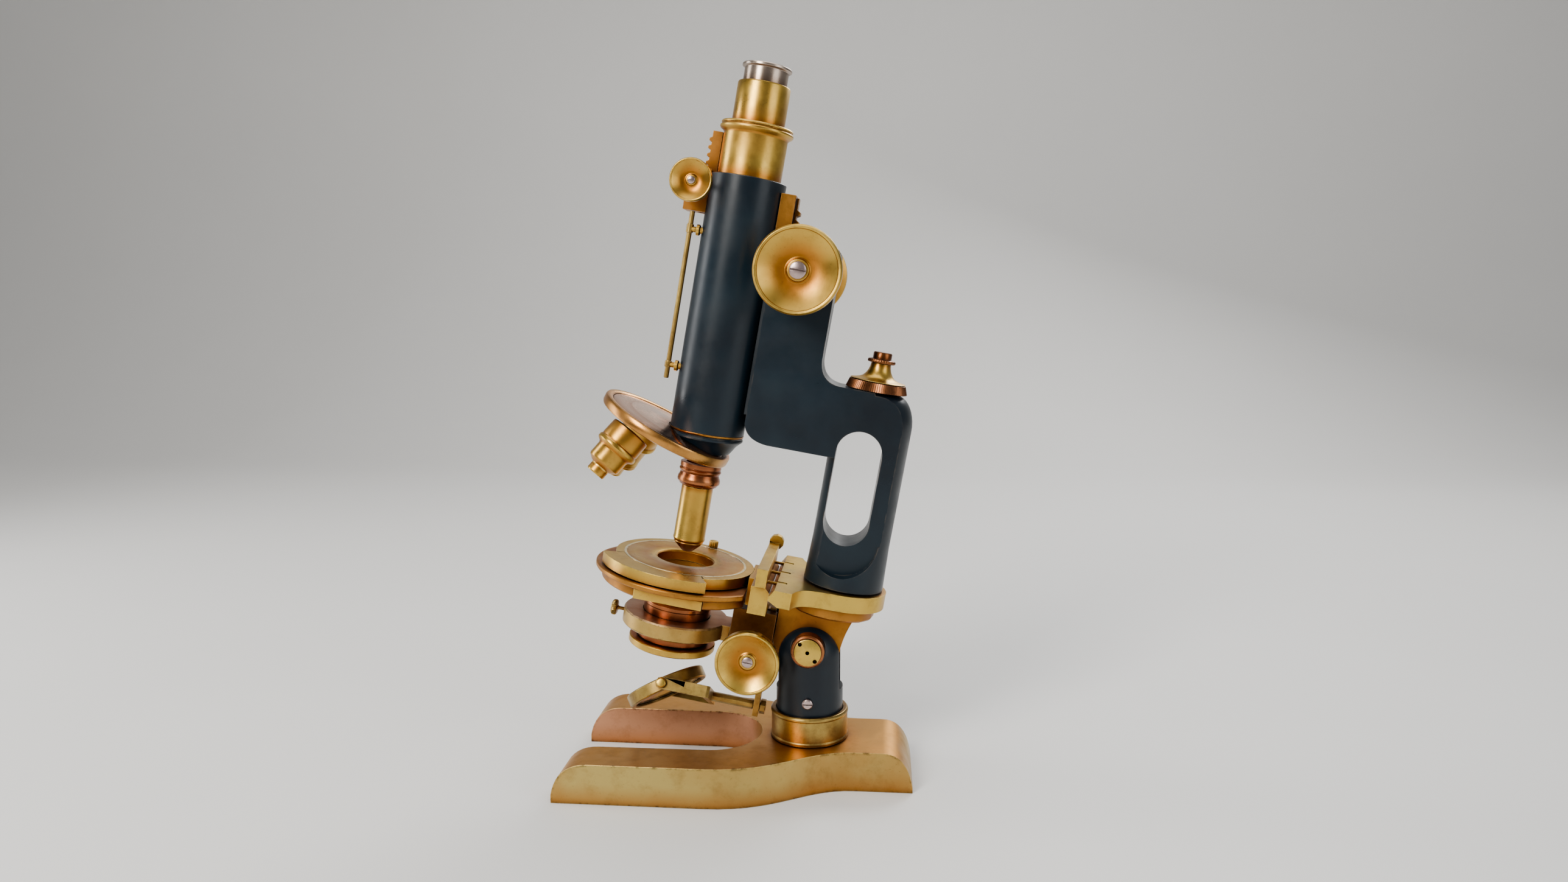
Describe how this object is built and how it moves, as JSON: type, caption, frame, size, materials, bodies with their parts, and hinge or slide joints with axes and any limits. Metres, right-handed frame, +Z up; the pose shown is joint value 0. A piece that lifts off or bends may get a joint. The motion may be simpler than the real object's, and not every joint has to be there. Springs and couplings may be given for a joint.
{
  "type": "compound microscope",
  "caption": "Antique brass compound microscope with a japanned arm and tube, turning nosepiece, round rotating stage, substage and mirror on a horseshoe foot.",
  "frame": {"origin": "on the table under the pillar axis, in the middle of the foot's flat underside", "axes": "+Z up, -X to the front where the stage and mirror are, Y across the foot; the limb is shown leaning back 10 degrees"},
  "size_m": [0.1888, 0.104, 0.3827],
  "materials": {
    "lacquered_brass": "aged lacquered brass, yellow-olive on edges and orange-brown in the hollows",
    "copper_bronze": "red-brown toned gunmetal with worn edges",
    "black_enamel": "blue-black japanned enamel, glossy",
    "nickel": "worn nickel plate",
    "steel": "bright steel screws and shafts",
    "lens_glass": "clear optical glass",
    "silvered_mirror": "silvered mirror glass"
  },
  "bodies": {
    "stand": {"horseshoe_base": "lacquered_brass", "pillar": "black_enamel", "pillar_collar": "lacquered_brass", "base_screw_front": "steel", "base_screw_rear": "steel", "pillar_side_screw": "steel", "pivot_axle": "steel", "pivot_nut_near": "lacquered_brass", "pivot_nut_far": "lacquered_brass"},
    "limb": {"hinge_lug": "copper_bronze", "stage_bracket": "lacquered_brass", "fine_guide_post": "steel", "stage_rail": "lacquered_brass", "stage_post": "lacquered_brass", "stage_flange": "copper_bronze", "stage_underplate": "lacquered_brass", "tail_bar": "lacquered_brass", "substage_rack": "steel"},
    "stage": {"stage_disc": "lacquered_brass", "stage_clamp_screw": "lacquered_brass"},
    "arm": {"arm": "black_enamel"},
    "fine_knob": {"fine_knob_skirt": "copper_bronze", "fine_knob_spool": "lacquered_brass"},
    "body_tube": {"body_tube": "black_enamel", "coarse_slide": "lacquered_brass", "coarse_rack": "lacquered_brass", "draw_pinion_box": "lacquered_brass", "guide_rod": "lacquered_brass", "nosepiece_plate": "copper_bronze"},
    "coarse_drive": {"coarse_pinion": "steel", "coarse_knob_near": "lacquered_brass", "coarse_knob_far": "lacquered_brass"},
    "draw_sleeve": {"draw_sleeve": "lacquered_brass", "draw_rack": "copper_bronze"},
    "draw_drive": {"draw_pinion": "steel", "draw_knob_near": "lacquered_brass", "draw_knob_far": "lacquered_brass"},
    "draw_tube": {"draw_tube": "lacquered_brass"},
    "eyepiece": {"eyepiece": "nickel", "eye_lens": "lens_glass"},
    "nosepiece": {"nosepiece_disc": "copper_bronze", "nosepiece_pin": "copper_bronze", "objective_high": "lacquered_brass", "objective_mid": "lacquered_brass", "objective_low": "lacquered_brass"},
    "substage": {"substage_slide": "lacquered_brass", "substage_ring": "lacquered_brass", "condenser": "copper_bronze", "condenser_lens": "lens_glass", "condenser_thumbscrew": "copper_bronze"},
    "substage_drive": {"substage_pinion": "steel", "substage_knob_near": "lacquered_brass", "substage_knob_far": "lacquered_brass"},
    "iris": {"iris_ring": "lacquered_brass"},
    "mirror_fork": {"mirror_fork": "lacquered_brass", "mirror_spindle_nut": "lacquered_brass"},
    "mirror": {"mirror_ring": "lacquered_brass", "mirror_glass": "silvered_mirror"}
  },
  "joints": [
    {"name": "inclination", "type": "hinge", "parent": "stand", "child": "limb", "pos_m": [0, 0, 0.0745], "axis": [0, 1, 0], "range_deg": [-4, 80]},
    {"name": "stage_rotation", "type": "hinge", "parent": "limb", "child": "stage", "pos_m": [-0.06914, 0, 0.11715], "axis": [0.1736, 0, 0.9848], "range_deg": [-150, 38]},
    {"name": "fine_focus", "type": "slide", "parent": "limb", "child": "arm", "axis": [0.1736, 0, 0.9848], "range_m": [-0.0007, 0.002]},
    {"name": "fine_knob_turn", "type": "hinge", "parent": "arm", "child": "fine_knob", "pos_m": [0.03629, 0, 0.22041], "axis": [0.1736, 0, 0.9848], "range_deg": [-506, 1442]},
    {"name": "coarse_focus", "type": "slide", "parent": "arm", "child": "body_tube", "axis": [0.1736, 0, 0.9848], "range_m": [-0.003, 0.045]},
    {"name": "coarse_drive_turn", "type": "hinge", "parent": "arm", "child": "coarse_drive", "pos_m": [-0.00423, 0, 0.27508], "axis": [0, 1, 0], "range_deg": [-29.72, 417.86]},
    {"name": "draw_sleeve_slide", "type": "slide", "parent": "body_tube", "child": "draw_sleeve", "axis": [0.1736, 0, 0.9848], "range_m": [-0.015, 0.009]},
    {"name": "draw_drive_turn", "type": "hinge", "parent": "body_tube", "child": "draw_drive", "pos_m": [-0.05958, 0, 0.32109], "axis": [0, 1, 0], "range_deg": [-200.33, 332.55]},
    {"name": "draw_tube_slide", "type": "slide", "parent": "draw_sleeve", "child": "draw_tube", "axis": [0.1736, 0, 0.9848], "range_m": [-0.018, 0.04]},
    {"name": "eyepiece_lift", "type": "slide", "parent": "draw_tube", "child": "eyepiece", "axis": [0.1736, 0, 0.9848], "range_m": [0, 0.03]},
    {"name": "nosepiece_turn", "type": "hinge", "parent": "body_tube", "child": "nosepiece", "pos_m": [-0.0796, 0, 0.18916], "axis": [0.5, 0, 0.866], "continuous": true},
    {"name": "substage_focus", "type": "slide", "parent": "limb", "child": "substage", "axis": [0.1736, 0, 0.9848], "range_m": [-0.003, 0.0034]},
    {"name": "substage_drive_turn", "type": "hinge", "parent": "substage", "child": "substage_drive", "pos_m": [-0.03092, 0, 0.07193], "axis": [0, 1, 0], "range_deg": [-49.75, 56.11]},
    {"name": "iris_turn", "type": "hinge", "parent": "substage", "child": "iris", "pos_m": [-0.07678, 0, 0.07382], "axis": [0.1736, 0, 0.9848], "range_deg": [-35, 35]},
    {"name": "mirror_swivel", "type": "hinge", "parent": "limb", "child": "mirror_fork", "pos_m": [-0.04672, 0, 0.03989], "axis": [0.9848, 0, -0.1736], "range_deg": [-5, 55]},
    {"name": "mirror_tilt", "type": "hinge", "parent": "mirror_fork", "child": "mirror", "pos_m": [-0.0802, 0, 0.04579], "axis": [-0.0734, 0.9063, -0.4162], "range_deg": [-15, 84]}
  ],
  "couplings": [
    {"joint": "fine_knob_turn", "follows": "fine_focus", "rad_per_m": 12566},
    {"joint": "coarse_drive_turn", "follows": "coarse_focus", "rad_per_m": 161.29},
    {"joint": "draw_drive_turn", "follows": "draw_sleeve_slide", "rad_per_m": -384.62},
    {"joint": "substage_drive_turn", "follows": "substage_focus", "rad_per_m": 277.78}
  ]
}
